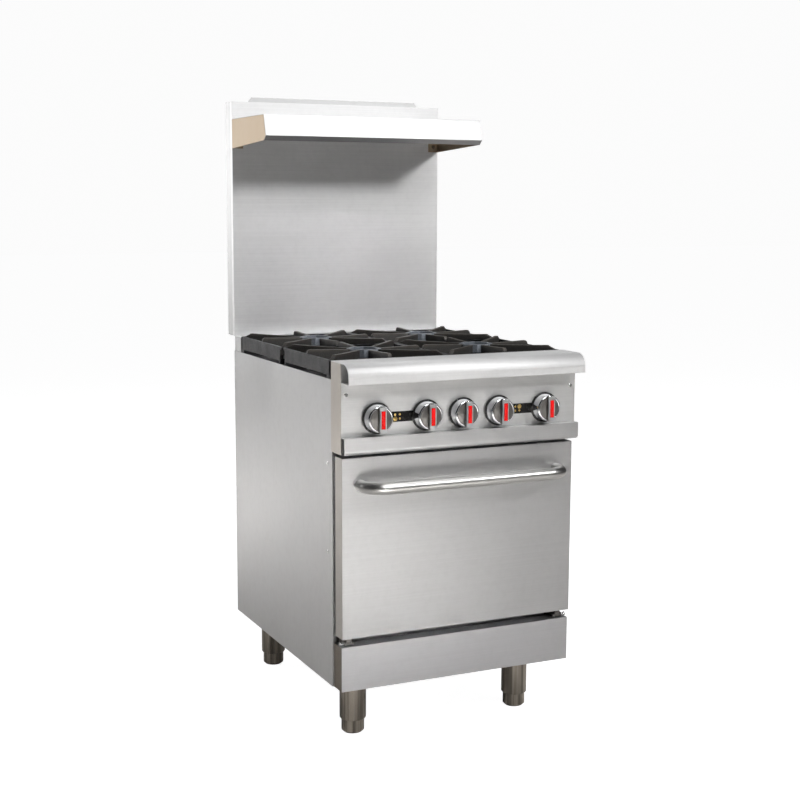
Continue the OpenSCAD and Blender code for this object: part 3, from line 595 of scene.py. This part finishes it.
def add_knob(node):
    """Black base, plated bell, dark face and grip bar, and a red insert in a pale frame."""
    low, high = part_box(node)
    radius = (high.x - low.x) / 2
    face_radius = radius - 0.0104
    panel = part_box("control_panel")[0].y
    front = panel - low.y
    center = Matrix.Translation(((low.x + high.x) / 2, panel, (low.z + high.z) / 2))
    place = center @ Matrix.Rotation(math.pi / 2, 4, "X")

    def add(name, parts, material, slot="knob_chrome", **rounding):
        mesh = mesh_from(node + name, [moved(part, place) for part in parts])
        return add_piece(node + name, mesh, material, node, slot, **rounding)

    base = lathe([(0, BASE_BACK), (radius - 0.0008, BASE_BACK), (radius, 0.0023), (radius, 0.0055),
                  (radius - 0.0012, BASE_FRONT), (0, BASE_FRONT)], 64)
    spindle = lathe([(0, SPINDLE_BACK), (SPINDLE_RADIUS, SPINDLE_BACK), (SPINDLE_RADIUS, SPINDLE_FRONT),
                     (0, SPINDLE_FRONT)], 24)
    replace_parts(add("_base", [base, spindle], "black"), node)
    add("_skirt", [knob_skirt(radius, face_radius)], "chrome")
    face = lathe([(0, FACE_BACK), (face_radius, FACE_BACK), (face_radius, 0.0281),
                  (face_radius - 0.0005, FACE_FRONT), (0, FACE_FRONT)], 64)
    add("_face", [face], "knob_face")

    length = radius - 0.0072
    grip = cuboid((-GRIP_HALF, GRIP_HALF), (-length, length), (GRIP_BACK, front - GRIP_INSET), 0.0007)
    add("_grip", [grip], "knob_face", bevel=0.0012, segments=3)
    side, end = GRIP_HALF - FRAME_EASE, length - FRAME_EASE
    window, reach = WINDOW_HALF, length - 0.0080
    depth = (front - FRAME_DEPTH, front - FRAME_INSET)
    bars = [((-side, -window), (-end, end)), ((window, side), (-end, end)),
            ((-window, window), (reach, end)), ((-window, window), (-end, -reach))]
    add("_frame", [cuboid(across, along, depth) for across, along in bars], "silver", bevel=0.0005)
    wide, tall = window - WINDOW_GAP, reach - WINDOW_GAP
    add("_insert", [cuboid((-wide, wide), (-tall, tall), (front - FRAME_DEPTH, front), 0.0004)],
        "red", "red_plastic", bevel=0.0007, segments=3)


# ---------- handle ----------

def sweep(points, radius, sides=32):
    """A round tube along points, with flat ends."""
    rings = []
    points = [Vector(p) for p in points]
    up = Vector((0, 0, 1))
    for i, point in enumerate(points):
        ahead = points[min(i + 1, len(points) - 1)] - points[max(i - 1, 0)]
        ahead.normalize()
        side = ahead.cross(up).normalized()
        rings.append([point + side * radius * math.cos(2 * math.pi * k / sides)
                      + up * radius * math.sin(2 * math.pi * k / sides) for k in range(sides)])
    return loft(rings)


BEND = 0.045


def add_handle():
    """A straight tube with two bends into the door."""
    low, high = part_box("door_handle")
    radius = (high.z - low.z) / 2
    x = high.x - radius
    y = low.y + radius
    z = (low.z + high.z) / 2
    left = [(-x + BEND + p[0], y + BEND + p[1], z) for p in arc((0, 0), BEND, 180, 270, 14)]
    right = [(x - BEND + p[0], y + BEND + p[1], z) for p in arc((0, 0), BEND, 270, 360, 14)]
    middle = [(-x + BEND + (2 * x - 2 * BEND) * i / 12, y, z) for i in range(1, 12)]
    path = [(-x, high.y, z)] + left + middle + right + [(x, high.y, z)]
    mesh = mesh_from("door_handle_tube", [sweep(path, radius)])
    piece = add_piece("door_handle_tube", mesh, "handle", "oven_door", "handle_steel")
    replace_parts(piece, "door_handle")


# ---------- printed marks ----------

MARK_PITCH_X, MARK_PITCH_Z = 0.0115, 0.0095
MARK_LARGE, MARK_SMALL, MARK_DEPTH = 0.0052, 0.0025, 0.0003
MARK_OFFSET = 0.053


def dot(radius):
    """A thin round mark with an eased edge."""
    edge = [(radius, 0), (radius, MARK_DEPTH * 0.6), (radius * 0.9, MARK_DEPTH)]
    return lathe([(0, 0)] + edge + [(0, MARK_DEPTH)], 20)


def add_burner_marks():
    """Between each pair of burner knobs, four dots in a square: the large one is the burner."""
    low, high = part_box("label_plates")
    plate_z = (low.z + high.z) / 2
    turn = Matrix.Rotation(math.pi / 2, 4, "X")
    knobs = [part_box(name) for name in frame["nodes"] if name.startswith("knob_") and name != "knob_oven"]
    centers = sorted((k[0].x + k[1].x) / 2 for k in knobs)
    parts = []
    for knob_x, chosen in ((centers[0], (0, 0)), (centers[2], (1, 1))):
        for column in (0, 1):
            for line in (0, 1):
                at = Matrix.Translation((knob_x + MARK_OFFSET + (column - 0.5) * MARK_PITCH_X, low.y + 0.1 * MM,
                                         plate_z + (line - 0.5) * MARK_PITCH_Z))
                radius = MARK_LARGE if (column, line) == chosen else MARK_SMALL
                parts.append(moved(dot(radius), at @ turn))
    mesh = mesh_from("burner_marks", parts)
    add_piece("burner_marks", mesh, "gold", ROOT, "brass")


# ---------- stage ----------

def add_stage():
    """A pale floor and a pale backdrop. Only the camera sees them bright: as light they are dim."""
    mesh = bpy.data.meshes.new("floor")
    size = 30
    corners = [(-size, -size, 0), (size, -size, 0), (size, size, 0), (-size, size, 0)]
    mesh.from_pydata(corners, [], [(0, 1, 2, 3)])
    floor = bpy.data.objects.new("floor", mesh)
    bpy.context.scene.collection.objects.link(floor)
    material, n = new_material("floor")
    seen = n.add("ShaderNodeLightPath").outputs["Is Camera Ray"]
    soft = n.add("ShaderNodeBsdfDiffuse", {"Color": (0.42, 0.42, 0.42, 1)}).outputs[0]
    pale = n.add("ShaderNodeEmission", {"Color": (0.96, 0.96, 0.96, 1), "Strength": 1.0}).outputs[0]
    shown = n.add("ShaderNodeAddShader", {0: soft, 1: pale}).outputs[0]
    bounce = n.add("ShaderNodeBsdfDiffuse", {"Color": (0.80, 0.78, 0.76, 1)}).outputs[0]
    both = n.add("ShaderNodeMixShader", {0: seen, 1: bounce, 2: shown}).outputs[0]
    n.add("ShaderNodeOutputMaterial", {"Surface": both})
    mesh.materials.append(material)

    world = bpy.data.worlds.new("studio")
    bpy.context.scene.world = world
    world.use_nodes = True
    n = Nodes(world.node_tree)
    light = n.add("ShaderNodeBackground", {"Color": (0.03, 0.03, 0.032, 1), "Strength": 1.0}).outputs[0]
    white = n.add("ShaderNodeBackground", {"Color": (0.97, 0.97, 0.97, 1), "Strength": 1.0}).outputs[0]
    seen = n.add("ShaderNodeLightPath").outputs["Is Camera Ray"]
    both = n.add("ShaderNodeMixShader", {0: seen, 1: light, 2: white}).outputs[0]
    n.add("ShaderNodeOutputWorld", {"Surface": both})
    bpy.context.scene.view_settings.view_transform = "Standard"


def add_light(name, place, aim, size, power, spread=180):
    """A soft rectangular light, narrowed to a pool where spread is small."""
    data = bpy.data.lights.new(name, "AREA")
    data.shape = "RECTANGLE"
    data.size, data.size_y = size
    data.energy = power
    data.spread = math.radians(spread)
    light = bpy.data.objects.new(name, data)
    light.location = place
    light.rotation_euler = (Vector(aim) - Vector(place)).to_track_quat("-Z", "Y").to_euler()
    light.visible_camera = False
    bpy.context.scene.collection.objects.link(light)


def add_lights():
    add_light("key", (2.1, -3.1, 2.9), (0, 0, 1.0), (0.6, 0.6), 50)
    add_light("front_top", (0.4, -3.4, 3.6), (0, 0, 0.9), (1.4, 1.4), 60)
    add_light("riser_pool", (0.2, -2.7, 3.3), (0, 0.36, 1.0), (0.3, 0.3), 0.19, spread=10)
    add_light("door_pool", (-0.5, -3.4, 1.5), (-0.13, -0.39, 0.36), (0.3, 0.3), 0.2, spread=10)
    add_light("overhead", (0.8, -0.9, 3.6), (0.3, -0.4, 0), (1.6, 0.9), 18)
    add_light("floor_pool", (-0.3, -2.3, 3.2), (-0.3, -2.3, 0), (0.8, 0.8), 78, spread=36)
    add_light("rear_left", (-3.0, 2.8, 2.0), (0, 0, 0.8), (2.5, 2.0), 46)
    add_light("rear_low", (-1.8, 3.6, 1.3), (0, 0, 0.8), (1.6, 1.2), 12)
    add_light("rear_pool", (-1.4, 2.6, 3.2), (-1.4, 2.6, 0), (1.2, 1.2), 23, spread=50)
    add_light("rear_top", (0.8, 2.3, 4.0), (0, -0.3, 0.9), (1.6, 1.2), 45)


add_camera()
dress_cad()
for name in frame["nodes"]:
    if name.startswith("grate_"):
        add_grate(name)
    elif name.startswith("knob_"):
        add_knob(name)
add_handle()
add_burner_marks()
add_stage()
add_lights()
